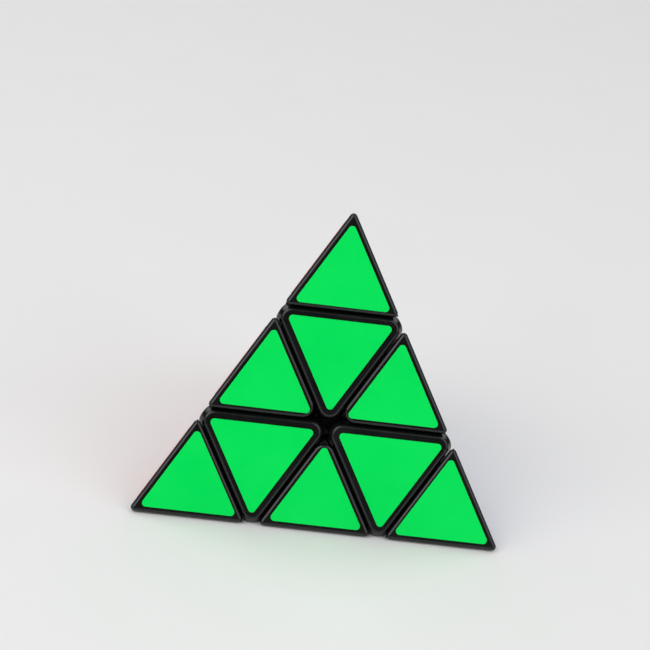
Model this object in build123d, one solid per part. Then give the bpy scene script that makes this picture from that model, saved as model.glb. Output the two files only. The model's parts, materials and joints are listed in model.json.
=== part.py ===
from build123d import *
import os
from math import sqrt

# A three-layer pyramid twisty puzzle: a regular tetrahedron of 4 tips, 4 axials and 6 edges
# round a hidden core. Millimetres, +Z up. It stands on its bottom face. The origin is the
# core's centre, where the four turning axes cross. Each axis runs from the core to a corner.

# Outer form
EDGE_LENGTH = 98.0  # one edge of the pyramid, between its sharp corners
LAYER_CUT = 7.1  # core centre to the cut under each layer, along its axis
TIP_CUT = 34.0  # core centre to the cut under each tip
CUT_GAP = 0.3  # play between two pieces at a cut
RIM_RADIUS = 1.0  # rounding of every outer edge of a piece
CORNER_CUT = 2.35  # how far the corner between two cuts is cut back from their meeting line
WALL = 1.8  # wall of the hollow mouldings

# Stickers
STICKER_THICKNESS = 0.25
STICKER_MARGIN = 2.0  # from the pyramid's edges and the layer cuts
STICKER_TIP_MARGIN = 1.7  # from the cut under a tip
STICKER_CORNER_RADIUS = 1.0

# Core
CORE_RADIUS = 11.0
BOSS_RADIUS = 4.0
BOSS_TOP = 17.0  # core centre to the top of each boss
PILOT_RADIUS = 1.52
PILOT_BOTTOM = 8.0

# Edge feet, which slide in the space between the core and the axials
FOOT_INNER_RADIUS = 11.3
FOOT_OUTER_RADIUS = 15.2
FOOT_CUT = 5.25  # core centre to the plane where each layer's feet end
FOOT_HALF_LENGTH = 10.5
NECK_RADIUS = 18.5  # sphere where a foot's neck meets its edge shell
PLUG_RADIUS = 23.0  # sphere where the foot's plug ends, inside the shell
FIT_CLEARANCE = 0.05

# Axial insides
SOCKET_RADIUS = 15.5  # sphere that the axials leave free for the feet
HUB_RADIUS = 6.5
HUB_BOTTOM = 11.4
HUB_BORE_RADIUS = 4.08
SHELF_BOTTOM = 17.05
SHELF_TOP = 19.25
SHELF_HOLE_RADIUS = 1.75
CHAMBER_RADIUS = 5.0
TIP_HOLE_RADIUS = 4.5
RIB_THICKNESS = 1.5

# Screw, spring and washer on each axis
SHANK_RADIUS = 1.5
SHANK_BOTTOM = 9.0
SPRING_WIRE_RADIUS = 0.35
SPRING_COIL_RADIUS = 2.7
SPRING_TURNS = 6
SPRING_END_PLAY = 0.05
WASHER_BOTTOM = 26.0
WASHER_THICKNESS = 0.6
WASHER_RADIUS = 3.9
WASHER_HOLE_RADIUS = 1.6
HEAD_HEIGHT = 2.0
HEAD_RADIUS = 2.8
RECESS_WIDTH = 0.8
RECESS_LENGTH = 3.4
RECESS_DEPTH = 1.0

# Tip stem, a split pin that snaps through the axial's plate
STEM_RADIUS = 4.42
STEM_BORE_RADIUS = 2.9
STEM_BOTTOM = 30.0
STEM_TOP = 44.0
STEM_BORE_TOP = 42.0
LIP_RADIUS = 4.85
LIP_TOP_GAP = 0.15  # between the lip and the underside of the axial's plate
LIP_HEIGHT = 0.8
LIP_TAPER = 0.7
SLIT_WIDTH = 1.0
SLIT_TOP = 36.5
TIP_RIB_THICKNESS = 1.2

# Worked out from the above
FACE_DISTANCE = EDGE_LENGTH * sqrt(2 / 3) / 4  # core centre to each face
FACE_INRADIUS = EDGE_LENGTH / (2 * sqrt(3))  # face centre to each edge
PLANE_SLOPE = sqrt(8) / 3  # sine of the angle between an axis and a face's normal
HALF_GAP = CUT_GAP / 2
PLATE_BOTTOM = TIP_CUT - HALF_GAP - WALL
WASHER_TOP = WASHER_BOTTOM + WASHER_THICKNESS
BIG = 2 * EDGE_LENGTH  # larger than the whole puzzle

# The four axes, named after the corners that they point to
AXES = {
    "top": Vector(0, 0, 1),
    "left": Vector(-sqrt(2 / 3), -sqrt(2) / 3, -1 / 3),
    "right": Vector(sqrt(2 / 3), -sqrt(2) / 3, -1 / 3),
    "back": Vector(0, 2 * sqrt(2) / 3, -1 / 3),
}
EDGES = [
    ("top", "left"),
    ("top", "right"),
    ("top", "back"),
    ("left", "right"),
    ("left", "back"),
    ("right", "back"),
]
# Each face lies opposite one corner
FACE_COLOURS = {"back": "green", "right": "red", "left": "blue", "top": "yellow"}

# The same four axes in the frame of one axis: Z along it, X towards its first neighbour
OWN_AXIS = Vector(0, 0, 1)
NEIGHBOUR_AXES = [Vector(PLANE_SLOPE, 0, -1 / 3).rotate(Axis.Z, turn) for turn in (0, 120, 240)]

# The same four axes in the frame of one edge: Z through its middle, X along it
EDGE_AXES = [Vector(-sqrt(2 / 3), 0, sqrt(1 / 3)), Vector(sqrt(2 / 3), 0, sqrt(1 / 3))]
FAR_AXES = [Vector(0, -sqrt(2 / 3), -sqrt(1 / 3)), Vector(0, sqrt(2 / 3), -sqrt(1 / 3))]


def polyhedron(planes):
    """The convex solid behind all planes, each an outward normal and its distance from the origin."""
    solid = Box(BIG, BIG, BIG)
    for normal, distance in planes:
        solid = split(solid, bisect_by=Plane(origin=normal * distance, z_dir=normal), keep=Keep.BOTTOM)
    return solid


def inset(planes, depth):
    """The same planes moved inwards."""
    return [(normal, distance - depth) for normal, distance in planes]


def rounded(planes):
    """The polyhedron with every edge and corner rounded by the rim radius."""
    core = polyhedron(inset(planes, RIM_RADIUS))
    return offset(core, amount=RIM_RADIUS, kind=Kind.ARC)


def rod(radius, bottom, top):
    """A cylinder on the Z axis between two heights."""
    return Pos(0, 0, (bottom + top) / 2) * Cylinder(radius, top - bottom)


def on_axis(name, solid):
    """Move a solid from the frame of one axis to the named axis."""
    neighbour = [axis for other, axis in AXES.items() if other != name][0]
    z_dir = AXES[name]
    x_dir = neighbour - z_dir * neighbour.dot(z_dir)
    return Plane(origin=(0, 0, 0), x_dir=x_dir, z_dir=z_dir).location * solid


def on_edge(first, second, solid):
    """Move a solid from the frame of one edge to the edge between two corners."""
    z_dir = AXES[first] + AXES[second]
    x_dir = AXES[second] - AXES[first]
    return Plane(origin=(0, 0, 0), x_dir=x_dir, z_dir=z_dir).location * solid


def face_planes(axes):
    """The outer faces that lie opposite the given corners."""
    return [(axis * -1, FACE_DISTANCE) for axis in axes]


# Tips


def tip_rib(turn):
    """A rib from the stem to one corner of the tip."""
    height = STEM_TOP - TIP_CUT
    rib = Pos(EDGE_LENGTH / 4, 0, TIP_CUT + height / 2) * Box(EDGE_LENGTH / 2, TIP_RIB_THICKNESS, height)
    return Rot(0, 0, turn) * rib


def tip():
    """A hollow corner pyramid with a split stem that snaps into the axial."""
    base = (OWN_AXIS * -1, -(TIP_CUT + HALF_GAP))
    faces = face_planes(NEIGHBOUR_AXES)
    body = rounded(faces + [base])
    hollow = polyhedron(inset(faces, WALL) + [(OWN_AXIS * -1, 0)])
    ribs = Part() + [tip_rib(turn) for turn in (0, 120, 240)]
    ribs &= polyhedron(inset(faces + [base], RIM_RADIUS / 2))
    lip_top = PLATE_BOTTOM - LIP_TOP_GAP
    stem = rod(STEM_RADIUS, STEM_BOTTOM, STEM_TOP)
    stem += rod(LIP_RADIUS, lip_top - LIP_HEIGHT, lip_top)
    taper = Cone(LIP_RADIUS - LIP_TAPER, LIP_RADIUS, LIP_TAPER)
    stem += Pos(0, 0, lip_top - LIP_HEIGHT - LIP_TAPER / 2) * taper
    slit_height = SLIT_TOP - STEM_BOTTOM + 1
    slit = Pos(0, 0, SLIT_TOP - slit_height / 2) * Box(3 * STEM_RADIUS, SLIT_WIDTH, slit_height)
    body = body - hollow + ribs + stem
    body -= rod(STEM_BORE_RADIUS, STEM_BOTTOM - 1, STEM_BORE_TOP)
    return body - [Rot(0, 0, turn) * slit for turn in (30, 120)]


# Axials


def axial_planes():
    """The eight planes of the octahedral piece under a tip."""
    planes = face_planes(NEIGHBOUR_AXES)
    planes += [(axis, LAYER_CUT - HALF_GAP) for axis in NEIGHBOUR_AXES]
    planes.append((OWN_AXIS, TIP_CUT - HALF_GAP))
    planes.append((OWN_AXIS * -1, -(LAYER_CUT + HALF_GAP)))
    return planes


def axial_corner_planes():
    """Planes that cut back three corners on the pyramid's edges and three at face centres."""
    sides = [(axis, LAYER_CUT - HALF_GAP) for axis in NEIGHBOUR_AXES]
    top = (OWN_AXIS, TIP_CUT - HALF_GAP)
    pairs = [(top, side) for side in sides]
    pairs += [(sides[0], sides[1]), (sides[1], sides[2]), (sides[2], sides[0])]
    planes = []
    for (first, first_distance), (second, second_distance) in pairs:
        both = first + second
        meeting_line = (first_distance + second_distance) / both.length
        planes.append((both.normalized(), meeting_line - CORNER_CUT))
    return planes


def axial():
    """A hollow octahedral piece with a hub that turns on the core's boss."""
    planes = axial_planes()
    hollow = polyhedron(inset(planes, WALL))
    body = rounded(planes + axial_corner_planes()) - hollow
    ribs = Part() + [
        Rot(0, 0, turn) * Pos(EDGE_LENGTH / 4, 0, TIP_CUT / 2) * Box(EDGE_LENGTH / 2, RIB_THICKNESS, TIP_CUT)
        for turn in (0, 120, 240)
    ]
    body += ribs & polyhedron(inset(planes, WALL / 2))
    body -= Sphere(SOCKET_RADIUS)
    body += rod(HUB_RADIUS, HUB_BOTTOM, PLATE_BOTTOM + WALL / 2)
    body -= rod(HUB_BORE_RADIUS, 0, SHELF_BOTTOM)
    body -= rod(SHELF_HOLE_RADIUS, 0, TIP_CUT)
    body -= rod(CHAMBER_RADIUS, SHELF_TOP, PLATE_BOTTOM)
    return body - rod(TIP_HOLE_RADIUS, PLATE_BOTTOM - 1, TIP_CUT + 1)


# Edges


def edge_planes():
    """The four planes of the tetrahedral piece between two axials."""
    cuts = [(axis * -1, -(LAYER_CUT + HALF_GAP)) for axis in EDGE_AXES]
    return cuts + face_planes(FAR_AXES)


def edge_corner_plane():
    """A plane that cuts back the two corners at the centres of the neighbouring faces."""
    meeting_line = (LAYER_CUT + HALF_GAP) / EDGE_AXES[0].Z
    return (Vector(0, 0, -1), -(meeting_line + CORNER_CUT))


def edge_shell():
    """The hollow outer half of an edge, open towards the core."""
    planes = edge_planes()
    body = rounded(planes + [edge_corner_plane()])
    return body - polyhedron(inset(planes, WALL)) - Sphere(NECK_RADIUS)


def edge_foot():
    """The inner half of an edge: a curved foot under two axials, a neck, and a plug in the shell."""
    planes = edge_planes()
    ends = [(axis * -1, -FOOT_CUT) for axis in EDGE_AXES]
    sides = [(Vector(0, side, 0), FOOT_HALF_LENGTH) for side in (1, -1)]
    foot = polyhedron(ends + sides) & Sphere(FOOT_OUTER_RADIUS)
    foot -= Sphere(FOOT_INNER_RADIUS)
    neck = polyhedron(planes + [edge_corner_plane()]) + polyhedron(planes + sides)
    neck &= Sphere(NECK_RADIUS - FIT_CLEARANCE)
    plug = polyhedron(inset(planes, WALL + FIT_CLEARANCE)) & Sphere(PLUG_RADIUS)
    return foot + neck + plug


# Stickers


def in_face(corner, face):
    """The direction of a corner as seen from the centre of a face."""
    return (AXES[corner] - AXES[face] * AXES[corner].dot(AXES[face])).normalized()


def sticker(face, sides):
    """A triangle with rounded corners on a face, behind three lines: outward normal and distance."""
    inradius = sum(distance for _, distance in sides) / 3
    centre = AXES[face] * -FACE_DISTANCE
    for normal, distance in sides:
        centre += normal * ((distance - inradius) * 2 / 3)
    plane = Plane(origin=centre, x_dir=sides[0][0] * -1, z_dir=AXES[face] * -1)
    outline = RegularPolygon(radius=2 * inradius, side_count=3)
    outline = fillet(outline.vertices(), STICKER_CORNER_RADIUS)
    return extrude(plane * outline, STICKER_THICKNESS)


def stickers():
    """Every sticker, by node name."""
    layer_line = (LAYER_CUT - FACE_DISTANCE / 3) / PLANE_SLOPE
    tip_line = (TIP_CUT - FACE_DISTANCE / 3) / PLANE_SLOPE
    outer = FACE_INRADIUS - STICKER_MARGIN
    found = {}
    for face, colour in FACE_COLOURS.items():
        corners = [corner for corner in AXES if corner != face]
        for corner in corners:
            others = [other for other in corners if other != corner]
            own = in_face(corner, face)
            tip_sides = [(own * -1, -(tip_line + STICKER_TIP_MARGIN))]
            tip_sides += [(in_face(other, face) * -1, outer) for other in others]
            found[f"{colour}_sticker_{corner}_tip"] = sticker(face, tip_sides)
            axial_sides = [(own, tip_line - STICKER_TIP_MARGIN)]
            axial_sides += [(in_face(other, face), layer_line - STICKER_MARGIN) for other in others]
            found[f"{colour}_sticker_{corner}_axial"] = sticker(face, axial_sides)
        for first, second in EDGES:
            if face in (first, second):
                continue
            third = [corner for corner in corners if corner not in (first, second)][0]
            edge_sides = [(in_face(third, face) * -1, outer)]
            for corner in (first, second):
                edge_sides.append((in_face(corner, face) * -1, -(layer_line + STICKER_MARGIN)))
            found[f"{colour}_sticker_{first}_{second}_edge"] = sticker(face, edge_sides)
    return found


# Core and fasteners


def core():
    """A ball with four bosses, each with a pilot hole for its screw."""
    body = Sphere(CORE_RADIUS)
    for name in AXES:
        body += on_axis(name, rod(BOSS_RADIUS, 0, BOSS_TOP))
    for name in AXES:
        body -= on_axis(name, rod(PILOT_RADIUS, PILOT_BOTTOM, BOSS_TOP + 1))
    return body


def tension_screw():
    """A screw with a plain shank, a rounded head and a cross recess."""
    head_top = WASHER_TOP + HEAD_HEIGHT
    head = rod(HEAD_RADIUS, WASHER_TOP, head_top)
    head = fillet(head.edges().group_by(Axis.Z)[-1], HEAD_HEIGHT / 2)
    screw = head + rod(SHANK_RADIUS, SHANK_BOTTOM, WASHER_TOP)
    recess = Pos(0, 0, head_top) * Box(RECESS_LENGTH, RECESS_WIDTH, 2 * RECESS_DEPTH)
    return screw - [recess, Rot(0, 0, 90) * recess]


def washer():
    """A flat ring under the screw's head."""
    return rod(WASHER_RADIUS, WASHER_BOTTOM, WASHER_TOP) - rod(WASHER_HOLE_RADIUS, WASHER_BOTTOM, WASHER_TOP)


def tension_spring():
    """A coil spring between the axial's shelf and the washer."""
    bottom = SHELF_TOP + SPRING_END_PLAY + SPRING_WIRE_RADIUS
    top = WASHER_BOTTOM - SPRING_END_PLAY - SPRING_WIRE_RADIUS
    height = top - bottom
    path = Helix(pitch=height / SPRING_TURNS, height=height, radius=SPRING_COIL_RADIUS)
    section = Plane(origin=path @ 0, z_dir=path % 0) * Circle(SPRING_WIRE_RADIUS)
    return Pos(0, 0, bottom) * sweep(section, path)


def build():
    """Every node by name."""
    tip_solid = tip()
    axial_solid = axial()
    shell_solid = edge_shell()
    foot_solid = edge_foot()
    nodes = {"core": core()}
    for name in AXES:
        nodes[f"{name}_tip"] = on_axis(name, tip_solid)
        nodes[f"{name}_axial"] = on_axis(name, axial_solid)
    for first, second in EDGES:
        nodes[f"{first}_{second}_edge_shell"] = on_edge(first, second, shell_solid)
        nodes[f"{first}_{second}_edge_foot"] = on_edge(first, second, foot_solid)
    fasteners = {
        "tension_screws": tension_screw(),
        "tension_springs": tension_spring(),
        "washers": washer(),
    }
    for node, solid in fasteners.items():
        nodes[node] = Compound(children=[on_axis(name, solid) for name in AXES])
    nodes.update(stickers())
    return nodes


os.makedirs("parts", exist_ok=True)
for node, shape in build().items():
    export_step(shape, f"parts/{node}.step")
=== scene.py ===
import json
from itertools import combinations
from math import acos, cos, pi, radians, sin, sqrt

import bmesh
import bpy
import numpy as np
from mathutils import Matrix, Vector

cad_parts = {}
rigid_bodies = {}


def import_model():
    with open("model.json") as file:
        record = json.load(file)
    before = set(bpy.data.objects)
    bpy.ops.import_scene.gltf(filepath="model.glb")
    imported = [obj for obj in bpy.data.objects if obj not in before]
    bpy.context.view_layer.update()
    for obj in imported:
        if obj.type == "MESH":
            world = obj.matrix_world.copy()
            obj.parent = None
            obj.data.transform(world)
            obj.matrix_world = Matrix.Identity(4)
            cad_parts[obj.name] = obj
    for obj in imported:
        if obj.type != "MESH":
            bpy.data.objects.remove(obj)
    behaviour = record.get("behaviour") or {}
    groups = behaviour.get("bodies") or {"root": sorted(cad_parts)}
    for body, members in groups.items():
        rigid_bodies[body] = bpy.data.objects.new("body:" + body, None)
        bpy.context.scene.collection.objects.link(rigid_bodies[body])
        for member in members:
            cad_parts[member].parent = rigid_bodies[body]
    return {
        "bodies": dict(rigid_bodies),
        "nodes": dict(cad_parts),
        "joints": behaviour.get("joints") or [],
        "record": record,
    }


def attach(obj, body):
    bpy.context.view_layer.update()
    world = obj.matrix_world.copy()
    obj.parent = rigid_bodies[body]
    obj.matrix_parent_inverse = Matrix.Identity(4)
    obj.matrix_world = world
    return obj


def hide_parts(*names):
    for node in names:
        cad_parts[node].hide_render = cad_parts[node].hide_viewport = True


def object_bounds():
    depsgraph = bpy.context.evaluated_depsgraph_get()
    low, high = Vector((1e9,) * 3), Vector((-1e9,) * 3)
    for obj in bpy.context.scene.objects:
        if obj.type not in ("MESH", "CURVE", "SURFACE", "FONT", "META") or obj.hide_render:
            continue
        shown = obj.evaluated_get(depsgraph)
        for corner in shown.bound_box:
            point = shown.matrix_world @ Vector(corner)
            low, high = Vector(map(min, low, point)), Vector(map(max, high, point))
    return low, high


# The looks of a pyramid twisty puzzle, round its CAD frame. Pieces are built in millimetres, a moulding
# in the frame of its own axis or edge and a film where it lies, and then put in place in metres.

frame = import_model()
CAD_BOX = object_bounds()
MILLIMETRE = 0.001

# Mouldings
RIM_RADIUS = 1.0  # rounding of every outer edge of a piece
RIM_STEP = radians(13)  # one facet of a rounded rim
CORNER_FACETS = 9  # planes that round a corner where two cuts meet
WALL = 1.8
RIB_THICKNESS = 1.5
TIP_RIB_THICKNESS = 1.2
ROUND_SIDES = 72  # facets of a turned shape
SHARP_ANGLE = radians(34)
CUTTER_REACH = 1.0  # how far a cutter passes through a surface
MEETING_TOLERANCE = 1e-6  # slack in finding where planes meet

# Inside an axial
SOCKET_RADIUS = 15.5
HUB_RADIUS = 6.5
HUB_BOTTOM = 11.4
HUB_BORE_RADIUS = 4.08
SHELF_BOTTOM = 17.05
SHELF_TOP = 19.25
SHELF_HOLE_RADIUS = 1.75
CHAMBER_RADIUS = 5.0
TIP_HOLE_RADIUS = 4.5

# A tip's stem
STEM_RADIUS = 4.42
STEM_BORE_RADIUS = 2.9
STEM_TOP = 44.0
STEM_BORE_TOP = 42.0
LIP_RADIUS = 4.85
LIP_TOP_GAP = 0.15
LIP_HEIGHT = 0.8
LIP_TAPER = 0.7
SLIT_WIDTH = 1.0
SLIT_HALF_LENGTH = 1.5 * STEM_RADIUS
SLIT_TOP = 36.5
SLIT_TURNS = (pi / 6, 2 * pi / 3)  # two slits, square to each other

# An edge's opening for its foot
NECK_RADIUS = 18.5

# Stickers
STICKER_CORNER_RADIUS = 1.0
STICKER_RIM = 0.07  # rounding of the film's cut edge
STICKER_RIM_STEPS = 3
STICKER_CORNER_STEPS = 12

# Studio
VIEW_AZIMUTH = radians(4.94)  # the camera looks along +Y, turned towards +X
VIEW_ELEVATION = radians(25.77)
VIEW_ROLL = radians(8.865)
VIEW_AIM = Vector((-0.0021, 0.0103, 0.0208))
VIEW_DISTANCE = 0.6608
VIEW_LENS = 138.46
SOFTBOXES = (  # name, azimuth and elevation in degrees, distance and size in metres, radiance
    ("key_light", -52, 42, 1.3, 1.22, 2.4),
    ("fill_light", 56, 38, 1.3, 1.4, 1.3),
    ("left_back_light", -135, 50, 1.4, 1.0, 1.6),
    ("right_back_light", 140, 50, 1.4, 1.0, 1.6),
)
SURROUND = (0.09, 0.09, 0.09)
FLOOR_RADIUS = 4.0
FLOOR_DARK = (0.815, 0.815, 0.815)
FLOOR_LIGHT = (0.825, 0.825, 0.825)

X = Vector((1, 0, 0))
Y = Vector((0, 1, 0))
Z = Vector((0, 0, 1))
AXES = {
    joint["child"].removesuffix("_layer"): Vector(joint["axis"]).normalized()
    for joint in frame["joints"]
    if joint["name"].endswith("_layer_turn")
}
EDGES = [name.removesuffix("_edge").split("_") for name in frame["bodies"] if name.endswith("_edge")]


# Sizes that the frame holds, in millimetres


def reach(node, direction):
    """How far a CAD node reaches from the core's centre along a direction."""
    return max(vertex.co.dot(direction) for vertex in frame["nodes"][node].data.vertices) / MILLIMETRE


FACE_DISTANCE = reach("top_axial", AXES["left"] * -1)
AXIAL_TOP = reach("top_axial", Z)
AXIAL_BOTTOM = -reach("top_axial", Z * -1)
AXIAL_SIDE = reach("top_axial", AXES["left"])
CUT_GAP = AXIAL_BOTTOM - AXIAL_SIDE
TIP_BOTTOM = AXIAL_TOP + CUT_GAP
STEM_BOTTOM = -reach("top_tip", Z * -1)
PLATE_BOTTOM = AXIAL_TOP - WALL


# The four axes in the frame of one axis, and in the frame of one edge


def axis_place(name):
    """The turn from the frame of one axis, with Z along it and X towards a neighbour, to its place."""
    neighbour = next(axis for other, axis in AXES.items() if other != name)
    z_dir = AXES[name]
    x_dir = (neighbour - z_dir * neighbour.dot(z_dir)).normalized()
    return Matrix((x_dir, z_dir.cross(x_dir), z_dir)).transposed().to_4x4()


def edge_place(first, second):
    """The turn from the frame of one edge, with Z through its middle and X along it, to its place."""
    z_dir = (AXES[first] + AXES[second]).normalized()
    x_dir = (AXES[second] - AXES[first]).normalized()
    return Matrix((x_dir, z_dir.cross(x_dir), z_dir)).transposed().to_4x4()


THIRD_TURNS = [Matrix.Rotation(turn * 2 * pi / 3, 3, "Z") for turn in range(3)]
NEIGHBOUR_AXES = [turn @ Vector((sqrt(8) / 3, 0, -1 / 3)) for turn in THIRD_TURNS]
EDGE_AXES = [Vector((side * sqrt(2 / 3), 0, sqrt(1 / 3))) for side in (-1, 1)]
FAR_AXES = [Vector((0, side * sqrt(2 / 3), -sqrt(1 / 3))) for side in (-1, 1)]


# Convex solids, each the space behind a list of planes (outward normal, distance)


def between(first, second, share):
    """A unit vector on the arc from one unit vector to another."""
    angle = acos(max(-1.0, min(1.0, first.dot(second))))
    return (first * sin((1 - share) * angle) + second * sin(share * angle)) / sin(angle)


def arc(first, second, step):
    """Unit vectors from one to another, both included."""
    count = max(1, round(first.angle(second) / step))
    inner = [between(first, second, index / count) for index in range(1, count)]
    return [first, *inner, second]


def inset(planes, depth):
    """The same planes moved inwards."""
    return [(normal, distance - depth) for normal, distance in planes]


def rounded_corner(first, second, middle_distance):
    """Planes round a cylinder that touches two planes and reaches a distance along their middle."""
    angle = first[0].angle(second[0])
    middle = (first[0] + second[0]).normalized()
    sharp_distance = (first[1] + second[1]) / (first[0] + second[0]).length
    radius = (sharp_distance - middle_distance) / (1 / cos(angle / 2) - 1)
    planes = []
    for index in range(1, CORNER_FACETS + 1):
        share = index / (CORNER_FACETS + 1)
        first_part = sin((1 - share) * angle) / sin(angle)
        second_part = sin(share * angle) / sin(angle)
        normal = first[0] * first_part + second[0] * second_part
        distance = (first[1] - radius) * first_part + (second[1] - radius) * second_part + radius
        planes.append((normal, distance))
    return planes


def convex_faces(planes):
    """The corners of a convex solid, and for each face its normal and its loop of corners."""
    normals = np.array([normal for normal, _ in planes])
    distances = np.array([distance for _, distance in planes])
    triples = np.array(list(combinations(range(len(planes)), 3)))
    triples = triples[abs(np.linalg.det(normals[triples])) > MEETING_TOLERANCE]
    points = np.linalg.solve(normals[triples], distances[triples][:, :, None])[:, :, 0]
    points = points[(points @ normals.T <= distances + MEETING_TOLERANCE).all(axis=1)]
    same = 10 * MEETING_TOLERANCE
    corners = []
    for point in points:
        if all(abs(point - corner).max() > same for corner in corners):
            corners.append(point)
    faces = []
    for normal, distance in planes:
        loop = [i for i, corner in enumerate(corners) if abs(corner @ normal - distance) < same]
        if len(loop) < 3:
            continue
        middle = sum((Vector(corners[i]) for i in loop), Vector()) / len(loop)
        side = (Vector(corners[loop[0]]) - middle).normalized()
        up = normal.cross(side)
        offsets = {i: Vector(corners[i]) - middle for i in loop}
        loop.sort(key=lambda i: np.arctan2(offsets[i].dot(up), offsets[i].dot(side)))
        faces.append((normal, loop))
    return [Vector(corner) for corner in corners], faces


def sharp_solid(planes):
    """A mesh of the convex solid behind the planes."""
    corners, faces = convex_faces(planes)
    build = bmesh.new()
    verts = [build.verts.new(corner) for corner in corners]
    for _, loop in faces:
        build.faces.new([verts[i] for i in loop])
    return finished(build)


def rounded_solid(planes, radius):
    """A mesh of the convex solid behind the planes, with every edge and corner rounded."""
    corners, faces = convex_faces(inset(planes, radius))
    build = bmesh.new()
    made = {}
    arcs = {}
    side_face = {}
    following = {}

    def vertex(corner, direction):
        key = (corner, direction.freeze())
        if key not in made:
            made[key] = build.verts.new(corners[corner] + direction * radius)
        return made[key]

    def face_arc(first, second):
        if (first, second) not in arcs:
            directions = [d.copy().freeze() for d in arc(faces[first][0], faces[second][0], RIM_STEP)]
            arcs[first, second] = directions
            arcs[second, first] = directions[::-1]
        return arcs[first, second]

    for index, (normal, loop) in enumerate(faces):
        for before, here, after in zip(loop, loop[1:] + loop[:1], loop[2:] + loop[:2]):
            side_face[before, here] = index
            following[before, here] = after
    flats = {}
    for (start, end), index in side_face.items():
        other = side_face[end, start]
        directions = face_arc(index, other)
        flats[index] = directions[0]
        if start < end:
            for first, second in zip(directions, directions[1:]):
                quad = [(end, first), (start, first), (start, second), (end, second)]
                build.faces.new([vertex(*place) for place in quad])
    for index, (_, loop) in enumerate(faces):
        build.faces.new([vertex(corner, flats[index]) for corner in loop])
    for corner in range(len(corners)):
        start = next(before for before, here in side_face if here == corner)
        order = [start]
        while following[order[-1], corner] != start:
            order.append(following[order[-1], corner])
        order.reverse()
        ring = []
        for before, after in zip(order, order[1:] + order[:1]):
            ring += face_arc(side_face[before, corner], side_face[after, corner])[:-1]
        middle = sum(ring, Vector()).normalized()
        depth = max(1, round(max(middle.angle(direction) for direction in ring) / RIM_STEP))
        for level in range(1, depth):
            inner = [between(direction, middle, 1 / (depth - level + 1)).freeze() for direction in ring]
            for a, b, c, d in zip(ring, ring[1:] + ring[:1], inner[1:] + inner[:1], inner):
                build.faces.new([vertex(corner, direction) for direction in (a, b, c, d)])
            ring = inner
        middle.freeze()
        for a, b in zip(ring, ring[1:] + ring[:1]):
            build.faces.new([vertex(corner, direction) for direction in (a, b, middle)])
    return finished(build)


# Other solids and how they are combined


def finished(build):
    """Turn a bmesh into a mesh."""
    bmesh.ops.recalc_face_normals(build, faces=build.faces)
    mesh = bpy.data.meshes.new("solid")
    build.to_mesh(mesh)
    build.free()
    return mesh


def turned(profile):
    """A solid of revolution about Z, from a closed outline of (radius, height)."""
    build = bmesh.new()
    rings = []
    for radius, height in profile:
        if radius == 0:
            rings.append([build.verts.new((0, 0, height))] * ROUND_SIDES)
            continue
        turns = [2 * pi * side / ROUND_SIDES for side in range(ROUND_SIDES)]
        rings.append([build.verts.new((radius * cos(t), radius * sin(t), height)) for t in turns])
    for lower, upper in zip(rings, rings[1:] + rings[:1]):
        for side in range(ROUND_SIDES):
            after = (side + 1) % ROUND_SIDES
            corners = [lower[side], lower[after], upper[after], upper[side]]
            corners = list(dict.fromkeys(corners))
            if len(corners) > 2:
                build.faces.new(corners)
    return finished(build)


def rod(radius, bottom, top):
    """A cylinder on the Z axis between two heights."""
    return turned([(0, bottom), (radius, bottom), (radius, top), (0, top)])


def ball(radius):
    """A sphere round the core's centre."""
    build = bmesh.new()
    bmesh.ops.create_uvsphere(build, u_segments=2 * ROUND_SIDES, v_segments=ROUND_SIDES, radius=radius)
    return finished(build)


def combined(base, tool, operation):
    """The boolean of two meshes, which are used up."""
    holders = [bpy.data.objects.new("holder", mesh) for mesh in (base, tool)]
    for holder in holders:
        bpy.context.scene.collection.objects.link(holder)
    modifier = holders[0].modifiers.new("boolean", "BOOLEAN")
    modifier.operation = operation
    modifier.solver = "EXACT"
    modifier.object = holders[1]
    evaluated = holders[0].evaluated_get(bpy.context.evaluated_depsgraph_get())
    mesh = bpy.data.meshes.new_from_object(evaluated)
    for holder in holders:
        used = holder.data
        bpy.data.objects.remove(holder)
        bpy.data.meshes.remove(used)
    return mesh


def less(base, *tools):
    """A mesh with others cut out of it."""
    for tool in tools:
        base = combined(base, tool, "DIFFERENCE")
    return base


def plus(base, *tools):
    """A mesh joined with others."""
    for tool in tools:
        base = combined(base, tool, "UNION")
    return base


def ribs(thickness, bottom, top, limits):
    """Three walls from the Z axis towards the neighbours, kept behind limiting planes."""
    walls = []
    for spin in THIRD_TURNS:
        planes = [(spin @ (Y * side), thickness / 2) for side in (1, -1)]
        planes += [(spin @ (X * -1), 0), (Z, top), (Z * -1, -bottom)]
        walls.append(sharp_solid(planes + limits))
    return walls


# Mouldings, each in the frame of its own axis or edge


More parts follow.
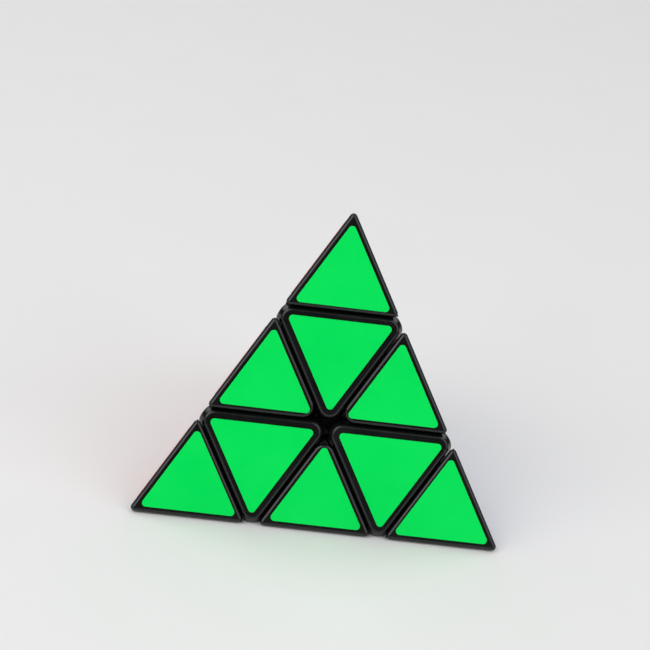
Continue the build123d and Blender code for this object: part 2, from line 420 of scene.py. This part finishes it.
def tip_moulding():
    """A hollow corner pyramid with a split stem."""
    base = (Z * -1, -TIP_BOTTOM)
    faces = [(axis * -1, FACE_DISTANCE) for axis in NEIGHBOUR_AXES]
    hollow = inset(faces, WALL) + [(Z * -1, -AXIAL_TOP)]
    lip_top = PLATE_BOTTOM - LIP_TOP_GAP
    lip_bottom = lip_top - LIP_HEIGHT
    stem = turned(
        [
            (0, STEM_BOTTOM),
            (STEM_RADIUS, STEM_BOTTOM),
            (STEM_RADIUS, lip_bottom - LIP_TAPER),
            (LIP_RADIUS, lip_bottom),
            (LIP_RADIUS, lip_top),
            (STEM_RADIUS, lip_top),
            (STEM_RADIUS, STEM_TOP),
            (0, STEM_TOP),
        ]
    )
    body = less(rounded_solid(faces + [base], RIM_RADIUS), sharp_solid(hollow))
    rib_limits = inset(faces + [base], RIM_RADIUS / 2)
    body = plus(body, *ribs(TIP_RIB_THICKNESS, AXIAL_TOP, STEM_TOP, rib_limits), stem)
    body = less(body, rod(STEM_BORE_RADIUS, STEM_BOTTOM - CUTTER_REACH, STEM_BORE_TOP))
    for turn in SLIT_TURNS:
        spin = Matrix.Rotation(turn, 3, "Z")
        slit = [(spin @ (Y * side), SLIT_WIDTH / 2) for side in (1, -1)]
        slit += [(spin @ (X * side), SLIT_HALF_LENGTH) for side in (1, -1)]
        slit += [(Z, SLIT_TOP), (Z * -1, CUTTER_REACH - STEM_BOTTOM)]
        body = less(body, sharp_solid(slit))
    return body


def axial_moulding():
    """A hollow octahedral piece with a hub that turns on the core."""
    sides = [(axis, AXIAL_SIDE) for axis in NEIGHBOUR_AXES]
    top = (Z, AXIAL_TOP)
    planes = [(axis * -1, FACE_DISTANCE) for axis in NEIGHBOUR_AXES]
    planes += sides + [top, (Z * -1, -AXIAL_BOTTOM)]
    to_frame = axis_place("top").to_3x3()
    corners = []
    for first, second in [(top, side) for side in sides] + list(combinations(sides, 2)):
        middle = to_frame @ (first[0] + second[0]).normalized()
        corners += rounded_corner(first, second, reach("top_axial", middle))
    hollow = inset(planes, WALL)
    body = less(rounded_solid(planes + corners, RIM_RADIUS), sharp_solid(hollow))
    body = plus(body, *ribs(RIB_THICKNESS, 0, AXIAL_TOP, inset(planes, WALL / 2)))
    body = less(body, ball(SOCKET_RADIUS))
    body = plus(body, rod(HUB_RADIUS, HUB_BOTTOM, PLATE_BOTTOM + WALL / 2))
    inside = turned(
        [
            (0, 0),
            (HUB_BORE_RADIUS, 0),
            (HUB_BORE_RADIUS, SHELF_BOTTOM),
            (SHELF_HOLE_RADIUS, SHELF_BOTTOM),
            (SHELF_HOLE_RADIUS, SHELF_TOP),
            (CHAMBER_RADIUS, SHELF_TOP),
            (CHAMBER_RADIUS, PLATE_BOTTOM),
            (TIP_HOLE_RADIUS, PLATE_BOTTOM),
            (TIP_HOLE_RADIUS, AXIAL_TOP + CUTTER_REACH),
            (0, AXIAL_TOP + CUTTER_REACH),
        ]
    )
    return less(body, inside)


def edge_moulding():
    """The hollow outer half of an edge, open towards the core."""
    cuts = [(axis * -1, -AXIAL_BOTTOM) for axis in EDGE_AXES]
    planes = cuts + [(axis * -1, FACE_DISTANCE) for axis in FAR_AXES]
    inwards = (AXES["top"] + AXES["left"]).normalized() * -1
    corner = rounded_corner(*cuts, reach("top_left_edge_shell", inwards))
    body = less(rounded_solid(planes + corner, RIM_RADIUS), sharp_solid(inset(planes, WALL)))
    return less(body, ball(NECK_RADIUS))


# Stickers


def sticker_film(node):
    """A thin film with rounded corners and a rounded cut edge, where the frame has the sticker."""
    face = min(AXES, key=lambda corner: reach(node, AXES[corner]) + reach(node, AXES[corner] * -1))
    up = AXES[face] * -1
    corners = [axis for corner, axis in AXES.items() if corner != face]
    directions = [(axis - up * axis.dot(up)).normalized() for axis in corners]
    choices = [[direction * sign for direction in directions] for sign in (1, -1)]
    normals = min(choices, key=lambda choice: sum(reach(node, normal) for normal in choice))
    distances = [reach(node, normal) for normal in normals]
    inradius = sum(distances) / 3
    middle = sum((n * (d - inradius) for n, d in zip(normals, distances)), Vector()) * 2 / 3
    bottom, top = -reach(node, up * -1), reach(node, up)
    rim = [pi / 2 * step / STICKER_RIM_STEPS for step in range(STICKER_RIM_STEPS + 1)]
    levels = [(0, bottom)]
    levels += [(STICKER_RIM * (1 - cos(turn)), top - STICKER_RIM * (1 - sin(turn))) for turn in rim]
    build = bmesh.new()
    rings = []
    for depth, height in levels:
        ring = []
        for first, second in ((0, 1), (1, 2), (2, 0)):
            outwards = (normals[first] + normals[second]).normalized()
            corner = middle + outwards * 2 * (inradius - STICKER_CORNER_RADIUS) + up * height
            for step in range(STICKER_CORNER_STEPS + 1):
                direction = between(normals[first], normals[second], step / STICKER_CORNER_STEPS)
                ring.append(build.verts.new(corner + direction * (STICKER_CORNER_RADIUS - depth)))
        rings.append(ring)
    for lower, upper in zip(rings, rings[1:]):
        for a, b, c, d in zip(lower, lower[1:] + lower[:1], upper[1:] + upper[:1], upper):
            build.faces.new((a, b, c, d)).material_index = 1
    build.faces.new(rings[-1])
    build.faces.new(rings[0][::-1])
    return finished(build)


# Materials


def material(name, finish):
    """A new node material: finish fills in the shader, given the node tree and the shader."""
    made = bpy.data.materials.new(name)
    made.use_nodes = True
    finish(made.node_tree, made.node_tree.nodes["Principled BSDF"])
    return made


def noise(tree, scale, detail=4.0, stretch=(1, 1, 1)):
    """A noise pattern in the object's own coordinates, with so many features to the metre."""
    coordinates = tree.nodes.new("ShaderNodeTexCoord")
    mapping = tree.nodes.new("ShaderNodeMapping")
    mapping.inputs["Scale"].default_value = stretch
    texture = tree.nodes.new("ShaderNodeTexNoise")
    texture.inputs["Scale"].default_value = scale
    texture.inputs["Detail"].default_value = detail
    tree.links.new(coordinates.outputs["Object"], mapping.inputs["Vector"])
    tree.links.new(mapping.outputs["Vector"], texture.inputs["Vector"])
    return texture.outputs["Fac"]


def ramp(tree, value, stops):
    """Colours or greys by value, from a list of (position, colour)."""
    node = tree.nodes.new("ShaderNodeValToRGB")
    elements = node.color_ramp.elements
    elements[0].position, elements[0].color = stops[0][0], (*stops[0][1], 1)
    elements[1].position, elements[1].color = stops[-1][0], (*stops[-1][1], 1)
    for position, colour in stops[1:-1]:
        elements.new(position).color = (*colour, 1)
    tree.links.new(value, node.inputs["Fac"])
    return node.outputs["Color"]


def span(tree, value, low, high):
    """Stretch a pattern's middle range over a range of values."""
    node = tree.nodes.new("ShaderNodeMapRange")
    node.inputs["From Min"].default_value = 0.3
    node.inputs["From Max"].default_value = 0.7
    node.inputs["To Min"].default_value = low
    node.inputs["To Max"].default_value = high
    tree.links.new(value, node.inputs["Value"])
    return node.outputs["Result"]


def bump(tree, shader, height, distance, strength):
    """Raise a pattern from the surface, by a distance in metres."""
    node = tree.nodes.new("ShaderNodeBump")
    node.inputs["Distance"].default_value = distance
    node.inputs["Strength"].default_value = strength
    tree.links.new(height, node.inputs["Height"])
    tree.links.new(node.outputs["Normal"], shader.inputs["Normal"])


def specks(tree, colour, speck_colour, per_metre, size):
    """Scatter small dots of another colour, such as dust, over a colour."""
    coordinates = tree.nodes.new("ShaderNodeTexCoord")
    cells = tree.nodes.new("ShaderNodeTexVoronoi")
    cells.inputs["Scale"].default_value = per_metre
    tree.links.new(coordinates.outputs["Object"], cells.inputs["Vector"])
    shown = ramp(tree, cells.outputs["Distance"], [(size * 0.5, (1, 1, 1)), (size, (0, 0, 0))])
    mix = tree.nodes.new("ShaderNodeMix")
    mix.data_type = "RGBA"
    sockets = [socket for socket in mix.inputs if socket.type == "RGBA"]
    tree.links.new(shown, mix.inputs["Factor"])
    tree.links.new(colour, sockets[0])
    sockets[1].default_value = (*speck_colour, 1)
    return next(socket for socket in mix.outputs if socket.type == "RGBA")


def moulded_plastic(colour, roughness, grain):
    """Moulded plastic: a slight marbling, uneven gloss, fine grain and a few specks of dust."""

    def finish(tree, shader):
        dark = tuple(channel * 0.75 for channel in colour)
        light = tuple(channel * 1.3 for channel in colour)
        base = ramp(tree, noise(tree, 90), [(0.35, dark), (0.65, light)])
        base = specks(tree, base, DUST_COLOUR, per_metre=260, size=0.045)
        tree.links.new(base, shader.inputs["Base Color"])
        gloss = span(tree, noise(tree, 140, detail=6), roughness - 0.05, roughness + 0.07)
        tree.links.new(gloss, shader.inputs["Roughness"])
        bump(tree, shader, noise(tree, 2600, detail=3), distance=0.00002, strength=grain)

    return finish


def vinyl_film(colour, roughness):
    """Printed vinyl: a faint tint variation and a slight orange peel under a glossy coat."""

    def finish(tree, shader):
        dark = tuple(channel * 0.965 for channel in colour)
        light = tuple(min(1.0, channel * 1.02 + 0.002) for channel in colour)
        base = ramp(tree, noise(tree, 55, detail=5), [(0.3, dark), (0.7, light)])
        tree.links.new(base, shader.inputs["Base Color"])
        gloss = span(tree, noise(tree, 210, detail=5), roughness - 0.04, roughness + 0.06)
        tree.links.new(gloss, shader.inputs["Roughness"])
        shader.inputs["Specular IOR Level"].default_value = 0.25
        bump(tree, shader, noise(tree, 1100, detail=2), distance=0.00001, strength=0.12)

    return finish


def plated_metal(colour, roughness, stretch):
    """Plated or drawn metal: cloudy plating and fine marks, drawn out along a direction."""

    def finish(tree, shader):
        dark = tuple(channel * 0.8 for channel in colour)
        base = ramp(tree, noise(tree, 400, stretch=stretch), [(0.3, dark), (0.7, colour)])
        tree.links.new(base, shader.inputs["Base Color"])
        shader.inputs["Metallic"].default_value = 1.0
        gloss = span(tree, noise(tree, 1500, stretch=stretch), roughness - 0.08, roughness + 0.1)
        tree.links.new(gloss, shader.inputs["Roughness"])
        bump(tree, shader, noise(tree, 3000, stretch=stretch), distance=0.00001, strength=0.3)

    return finish


DUST_COLOUR = (0.05, 0.05, 0.048)
FILM_COLOURS = {
    "green": (0.0003, 0.865, 0.116),
    "red": (0.74, 0.012, 0.016),
    "blue": (0.003, 0.085, 0.60),
    "yellow": (0.93, 0.70, 0.003),
}
BLACK_PLASTIC = material(
    "black_plastic", moulded_plastic((0.0026, 0.0030, 0.0034), roughness=0.22, grain=0.25)
)
FOOT_PLASTIC = material(
    "foot_plastic", moulded_plastic((0.0030, 0.0031, 0.0033), roughness=0.34, grain=0.3)
)
CORE_PLASTIC = material(
    "core_plastic", moulded_plastic((0.022, 0.022, 0.024), roughness=0.48, grain=0.6)
)
ZINC = material(
    "zinc_plated_steel", plated_metal((0.62, 0.63, 0.66), roughness=0.3, stretch=(1, 1, 1))
)
SPRING_STEEL = material(
    "spring_steel", plated_metal((0.45, 0.45, 0.46), roughness=0.36, stretch=(1, 1, 0.2))
)
FILMS = {}
for colour, base in FILM_COLOURS.items():
    pale = tuple(channel * 0.8 + 0.14 for channel in base)
    FILMS[colour] = [material(f"{colour}_film", vinyl_film(base, roughness=0.2))]
    FILMS[colour].append(material(f"{colour}_film_edge", vinyl_film(pale, roughness=0.5)))


# Pieces


def piece(name, mesh, place, materials, body, nodes):
    """Put a mesh in place as a piece that stands for CAD nodes, with smooth rims and flat faces."""
    mesh = mesh.copy()
    mesh.transform(Matrix.Scale(MILLIMETRE, 4) @ place)
    mesh.materials.clear()
    for finish in materials:
        mesh.materials.append(finish)
    build = bmesh.new()
    build.from_mesh(mesh)
    for face in build.faces:
        face.smooth = True
    for edge in build.edges:
        edge.smooth = len(edge.link_faces) == 2 and edge.calc_face_angle() < SHARP_ANGLE
    build.to_mesh(mesh)
    build.free()
    made = bpy.data.objects.new(name, mesh)
    bpy.context.scene.collection.objects.link(made)
    even = made.modifiers.new("even_shading", "WEIGHTED_NORMAL")
    even.keep_sharp = True
    even.weight = 100
    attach(made, body)
    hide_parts(*nodes)


def build_mouldings():
    """The tips, axials and edge shells."""
    tip, axial, edge = tip_moulding(), axial_moulding(), edge_moulding()

    def moulding(name, mesh, place, body, node):
        piece(f"{name}_moulding", mesh, place, [BLACK_PLASTIC], body, [node])

    for name in AXES:
        place = axis_place(name)
        moulding(f"{name}_tip", tip, place, f"{name}_corner", f"{name}_tip")
        moulding(f"{name}_axial", axial, place, f"{name}_layer", f"{name}_axial")
    for first, second in EDGES:
        name = f"{first}_{second}_edge"
        moulding(name, edge, edge_place(first, second), name, f"{name}_shell")


def build_films():
    """A film in place of every CAD sticker."""
    for body, nodes in frame["record"]["behaviour"]["bodies"].items():
        for node in nodes:
            if "_sticker_" not in node:
                continue
            colour, _, place = node.partition("_sticker_")
            film = sticker_film(node)
            name = f"{colour}_film_{place}"
            piece(name, film, Matrix.Identity(4), FILMS[colour], body, [node])


def finish_hidden_nodes():
    """Materials for the CAD nodes that stay as they are."""
    finishes = {
        "core": CORE_PLASTIC,
        "tension_screws": ZINC,
        "washers": ZINC,
        "tension_springs": SPRING_STEEL,
    }
    for name, node in frame["nodes"].items():
        finish = FOOT_PLASTIC if name.endswith("_edge_foot") else finishes.get(name)
        if finish:
            node.data.materials.clear()
            node.data.materials.append(finish)


# Studio


def build_camera():
    """The camera, at the angle of the reference view."""
    forward = Vector(
        (
            sin(VIEW_AZIMUTH) * cos(VIEW_ELEVATION),
            cos(VIEW_AZIMUTH) * cos(VIEW_ELEVATION),
            -sin(VIEW_ELEVATION),
        )
    )
    level = forward.cross(Z).normalized()
    right = level * cos(VIEW_ROLL) + level.cross(forward) * sin(VIEW_ROLL)
    turn = Matrix((right, right.cross(forward), forward * -1)).transposed().to_4x4()
    lens = bpy.data.cameras.new("camera")
    lens.lens = VIEW_LENS
    camera = bpy.data.objects.new("camera", lens)
    camera.matrix_world = Matrix.Translation(VIEW_AIM - forward * VIEW_DISTANCE) @ turn
    bpy.context.scene.collection.objects.link(camera)
    bpy.context.scene.camera = camera


def softbox(name, azimuth, elevation, distance, size, radiance):
    """A square area light that looks at the object from a direction, in degrees."""
    light = bpy.data.lights.new(name, "AREA")
    light.size = size
    light.energy = radiance * pi * size**2
    turn, rise = radians(azimuth), radians(elevation)
    towards = Vector((sin(turn) * cos(rise), -cos(turn) * cos(rise), sin(rise)))
    lamp = bpy.data.objects.new(name, light)
    lamp.location = towards * distance
    lamp.rotation_mode = "QUATERNION"
    lamp.rotation_quaternion = towards.to_track_quat("Z", "Y")
    bpy.context.scene.collection.objects.link(lamp)


def build_floor():
    """A pale round floor under the object."""
    build = bmesh.new()
    bmesh.ops.create_circle(build, cap_ends=True, segments=128, radius=FLOOR_RADIUS)
    floor = bpy.data.objects.new("floor", finished(build))
    floor.location.z = CAD_BOX[0].z

    def finish(tree, shader):
        paper = ramp(tree, noise(tree, 30), [(0.3, FLOOR_DARK), (0.7, FLOOR_LIGHT)])
        tree.links.new(paper, shader.inputs["Base Color"])
        shader.inputs["Roughness"].default_value = 0.9

    floor.data.materials.append(material("pale_paper", finish))
    bpy.context.scene.collection.objects.link(floor)


def build_studio():
    """Soft lights, a dim surround, and a plain view of colours."""
    for lamp in SOFTBOXES:
        softbox(*lamp)
    world = bpy.data.worlds.new("surround")
    world.use_nodes = True
    world.node_tree.nodes["Background"].inputs["Color"].default_value = (*SURROUND, 1)
    bpy.context.scene.world = world
    bpy.context.scene.view_settings.view_transform = "Standard"


build_camera()
build_mouldings()
build_films()
finish_hidden_nodes()
build_floor()
build_studio()
